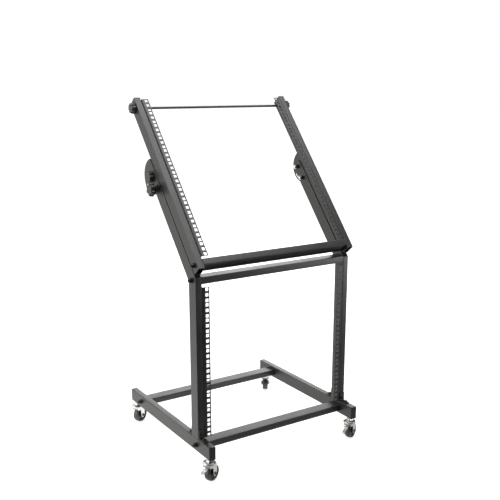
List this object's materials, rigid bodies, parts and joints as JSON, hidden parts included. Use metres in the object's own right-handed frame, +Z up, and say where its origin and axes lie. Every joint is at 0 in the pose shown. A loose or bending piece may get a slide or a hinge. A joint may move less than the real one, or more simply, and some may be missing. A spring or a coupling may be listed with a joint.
{
  "type": "studio rack stand",
  "caption": "Rolling black steel tube rack stand: a fixed lower rack bay and an upper rack bay that tilts back on clamped quadrant plates, on four swivel casters.",
  "frame": {"origin": "on the floor, at the centre of the part's bounding box", "axes": "+Z up, +Y to the back, +X to the right as seen from the front"},
  "size_m": [0.5929, 0.5342, 1.0591],
  "materials": {
    "powder_coat": "satin",
    "black_plastic": "satin",
    "black_bolt": "satin",
    "zinc": "bright zinc plate",
    "wheel": "smooth moulded"
  },
  "bodies": {
    "frame": {"foot_left": "powder_coat", "post_left": "powder_coat", "lower_rail_left": "powder_coat", "bracket_front_left": "powder_coat", "bracket_rear_left": "powder_coat", "foot_cap_front_left": "black_plastic", "foot_cap_rear_left": "black_plastic", "pivot_nut_left": "black_plastic", "clamp_nut_left": "black_plastic", "base_bolt_front_left": "black_bolt", "base_bolt_rear_left": "black_bolt", "post_bolt_left": "black_bolt", "foot_right": "powder_coat", "post_right": "powder_coat", "lower_rail_right": "powder_coat", "bracket_front_right": "powder_coat", "bracket_rear_right": "powder_coat", "foot_cap_front_right": "black_plastic", "foot_cap_rear_right": "black_plastic", "pivot_nut_right": "black_plastic", "clamp_nut_right": "black_plastic", "base_bolt_front_right": "black_bolt", "base_bolt_rear_right": "black_bolt", "post_bolt_right": "black_bolt", "base_bar_front": "powder_coat", "base_bar_rear": "powder_coat", "post_bar": "powder_coat", "caster_stem_front_left": "zinc", "caster_stem_front_right": "zinc", "caster_stem_rear_left": "zinc", "caster_stem_rear_right": "zinc"},
    "tilting_frame": {"tilt_arm_left": "powder_coat", "upper_rail_left": "powder_coat", "quadrant_plate_left": "powder_coat", "arm_cap_left": "black_plastic", "tilt_bolt_left": "black_bolt", "tilt_arm_right": "powder_coat", "upper_rail_right": "powder_coat", "quadrant_plate_right": "powder_coat", "arm_cap_right": "black_plastic", "tilt_bolt_right": "black_bolt", "tilt_bar": "powder_coat", "tie_rod": "powder_coat"},
    "tie_knob_left": {"tie_knob_left": "black_plastic"},
    "pivot_knob_left": {"pivot_knob_left": "black_plastic"},
    "clamp_knob_left": {"clamp_knob_left": "black_plastic"},
    "tie_knob_right": {"tie_knob_right": "black_plastic"},
    "pivot_knob_right": {"pivot_knob_right": "black_plastic"},
    "clamp_knob_right": {"clamp_knob_right": "black_plastic"},
    "fork_front_left": {"caster_fork_front_left": "zinc"},
    "wheel_front_left": {"caster_wheel_front_left": "wheel"},
    "pedal_front_left": {"brake_pedal_front_left": "zinc"},
    "fork_front_right": {"caster_fork_front_right": "zinc"},
    "wheel_front_right": {"caster_wheel_front_right": "wheel"},
    "pedal_front_right": {"brake_pedal_front_right": "zinc"},
    "fork_rear_left": {"caster_fork_rear_left": "zinc"},
    "wheel_rear_left": {"caster_wheel_rear_left": "wheel"},
    "fork_rear_right": {"caster_fork_rear_right": "zinc"},
    "wheel_rear_right": {"caster_wheel_rear_right": "wheel"}
  },
  "joints": [
    {"name": "tilt", "type": "hinge", "parent": "frame", "child": "tilting_frame", "pos_m": [0, 0.03847, 0.84006], "axis": [-1, 0, 0], "range_deg": [0, 90]},
    {"name": "tie_knob_left_turn", "type": "hinge", "parent": "tilting_frame", "child": "tie_knob_left", "pos_m": [-0.275, 0.14633, 1.02871], "axis": [-1, 0, 0], "range_deg": [-360, 360]},
    {"name": "pivot_knob_left_turn", "type": "hinge", "parent": "frame", "child": "pivot_knob_left", "pos_m": [-0.275, 0.03847, 0.84006], "axis": [-1, 0, 0], "range_deg": [-360, 360]},
    {"name": "clamp_knob_left_turn", "type": "hinge", "parent": "frame", "child": "clamp_knob_left", "pos_m": [-0.275, 0.01087, 0.80774], "axis": [-1, 0, 0], "range_deg": [-360, 360]},
    {"name": "tie_knob_right_turn", "type": "hinge", "parent": "tilting_frame", "child": "tie_knob_right", "pos_m": [0.275, 0.14633, 1.02871], "axis": [1, 0, 0], "range_deg": [-360, 360]},
    {"name": "pivot_knob_right_turn", "type": "hinge", "parent": "frame", "child": "pivot_knob_right", "pos_m": [0.275, 0.03847, 0.84006], "axis": [1, 0, 0], "range_deg": [-360, 360]},
    {"name": "clamp_knob_right_turn", "type": "hinge", "parent": "frame", "child": "clamp_knob_right", "pos_m": [0.275, 0.01087, 0.80774], "axis": [1, 0, 0], "range_deg": [-360, 360]},
    {"name": "swivel_front_left", "type": "hinge", "parent": "frame", "child": "fork_front_left", "pos_m": [-0.257, -0.24614, 0.055], "axis": [0, 0, 1], "continuous": true},
    {"name": "roll_front_left", "type": "hinge", "parent": "fork_front_left", "child": "wheel_front_left", "pos_m": [-0.24687, -0.24184, 0.025], "axis": [-0.3907, 0.9205, 0], "continuous": true},
    {"name": "brake_front_left", "type": "hinge", "parent": "fork_front_left", "child": "pedal_front_left", "pos_m": [-0.2639, -0.24907, 0.0475], "axis": [0.3907, -0.9205, 0], "range_deg": [0, 12]},
    {"name": "swivel_front_right", "type": "hinge", "parent": "frame", "child": "fork_front_right", "pos_m": [0.257, -0.24614, 0.055], "axis": [0, 0, 1], "continuous": true},
    {"name": "roll_front_right", "type": "hinge", "parent": "fork_front_right", "child": "wheel_front_right", "pos_m": [0.26713, -0.24184, 0.025], "axis": [-0.3907, 0.9205, 0], "continuous": true},
    {"name": "brake_front_right", "type": "hinge", "parent": "fork_front_right", "child": "pedal_front_right", "pos_m": [0.2501, -0.24907, 0.0475], "axis": [0.3907, -0.9205, 0], "range_deg": [0, 12]},
    {"name": "swivel_rear_left", "type": "hinge", "parent": "frame", "child": "fork_rear_left", "pos_m": [-0.257, 0.23386, 0.055], "axis": [0, 0, 1], "continuous": true},
    {"name": "roll_rear_left", "type": "hinge", "parent": "fork_rear_left", "child": "wheel_rear_left", "pos_m": [-0.24687, 0.23816, 0.025], "axis": [-0.3907, 0.9205, 0], "continuous": true},
    {"name": "swivel_rear_right", "type": "hinge", "parent": "frame", "child": "fork_rear_right", "pos_m": [0.257, 0.23386, 0.055], "axis": [0, 0, 1], "continuous": true},
    {"name": "roll_rear_right", "type": "hinge", "parent": "fork_rear_right", "child": "wheel_rear_right", "pos_m": [0.26299, 0.24309, 0.025], "axis": [-0.8387, 0.5446, 0], "continuous": true}
  ]
}
